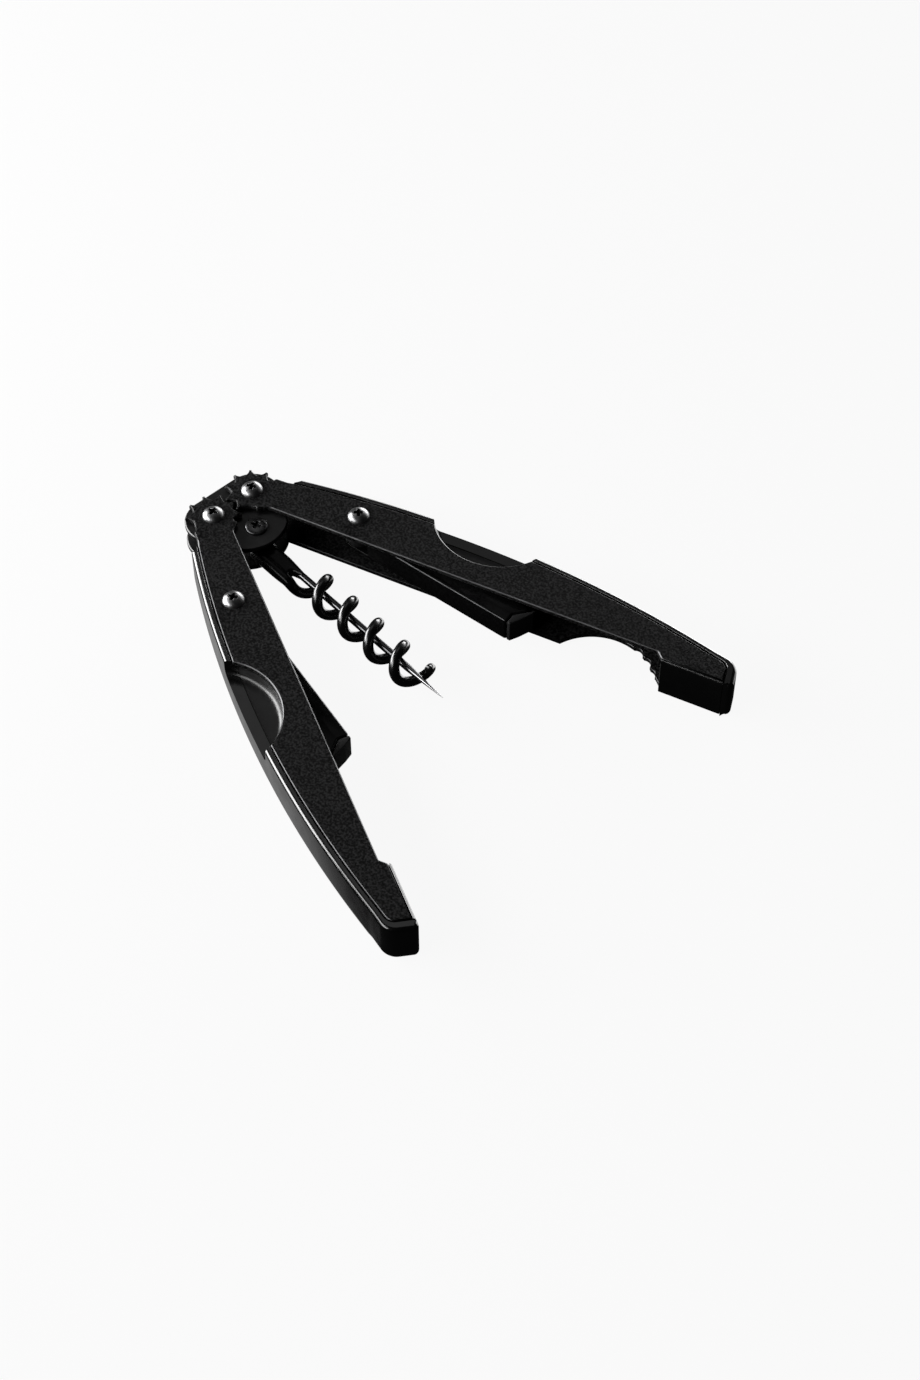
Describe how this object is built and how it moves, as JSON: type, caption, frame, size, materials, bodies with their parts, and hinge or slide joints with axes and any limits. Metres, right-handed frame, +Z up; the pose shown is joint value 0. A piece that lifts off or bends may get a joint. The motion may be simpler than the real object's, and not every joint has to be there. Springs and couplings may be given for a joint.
{
  "type": "lever corkscrew",
  "caption": "Twin-arm geared lever corkscrew: two black handle arms on a toothed link open together, each with a folding fulcrum leg, round a fixed needle-and-coil worm.",
  "frame": {"origin": "centre of the bounding box in plan, on the surface the corkscrew lies on", "axes": "+X from the toothed link to the worm's point and the handle tips, +Y towards the upper arm, +Z up out of the front plates"},
  "size_m": [0.1266, 0.1068, 0.0135],
  "materials": {
    "black_plate": "matte black coating with a fine grain and a thin chamfer",
    "gloss_black": "semi-gloss black",
    "satin_black": "satin black coating",
    "black_steel": "smooth non-stick black coating on steel",
    "polished_steel": "polished domed screws",
    "nylon": "moulded matte black"
  },
  "bodies": {
    "link": {"link_plate_front": "satin_black", "link_plate_back": "satin_black", "worm_hub": "black_steel", "worm_needle": "black_steel", "worm_wire": "black_steel", "hub_screw": "polished_steel", "hub_nut": "satin_black", "upper_pivot_screw": "polished_steel", "upper_pivot_nut": "polished_steel", "upper_pivot_washer_front": "nylon", "upper_pivot_washer_back": "nylon", "lower_pivot_screw": "polished_steel", "lower_pivot_nut": "polished_steel", "lower_pivot_washer_front": "nylon", "lower_pivot_washer_back": "nylon"},
    "upper_arm": {"upper_front_plate": "black_plate", "upper_back_plate": "black_plate", "upper_spine_shell": "gloss_black", "upper_thumb_recess": "satin_black", "upper_tip_pad": "gloss_black", "upper_leg_screw": "polished_steel", "upper_leg_nut": "polished_steel"},
    "upper_leg": {"upper_leg_channel": "satin_black", "upper_leg_foot": "nylon", "upper_leg_bush": "nylon"},
    "lower_arm": {"lower_front_plate": "black_plate", "lower_back_plate": "black_plate", "lower_spine_shell": "gloss_black", "lower_thumb_recess": "satin_black", "lower_tip_pad": "gloss_black", "lower_leg_screw": "polished_steel", "lower_leg_nut": "polished_steel"},
    "lower_leg": {"lower_leg_channel": "satin_black", "lower_leg_foot": "nylon", "lower_leg_bush": "nylon"}
  },
  "joints": [
    {"name": "upper_arm_hinge", "type": "hinge", "parent": "link", "child": "upper_arm", "pos_m": [-0.05635, 0.006, 0.0066], "axis": [0, 0, 1], "range_deg": [0, 134]},
    {"name": "lower_arm_hinge", "type": "hinge", "parent": "link", "child": "lower_arm", "pos_m": [-0.05635, -0.006, 0.0066], "axis": [0, 0, 1], "range_deg": [-134, 0]},
    {"name": "upper_leg_hinge", "type": "hinge", "parent": "upper_arm", "child": "upper_leg", "pos_m": [-0.03259, 0.01934, 0.0066], "axis": [0, 0, 1], "range_deg": [-134, 0]},
    {"name": "lower_leg_hinge", "type": "hinge", "parent": "lower_arm", "child": "lower_leg", "pos_m": [-0.03259, -0.01934, 0.0066], "axis": [0, 0, 1], "range_deg": [0, 134]}
  ],
  "couplings": [
    {"joint": "lower_arm_hinge", "follows": "upper_arm_hinge", "ratio": -1},
    {"joint": "upper_leg_hinge", "follows": "upper_arm_hinge", "ratio": -1},
    {"joint": "lower_leg_hinge", "follows": "upper_arm_hinge", "ratio": 1}
  ]
}
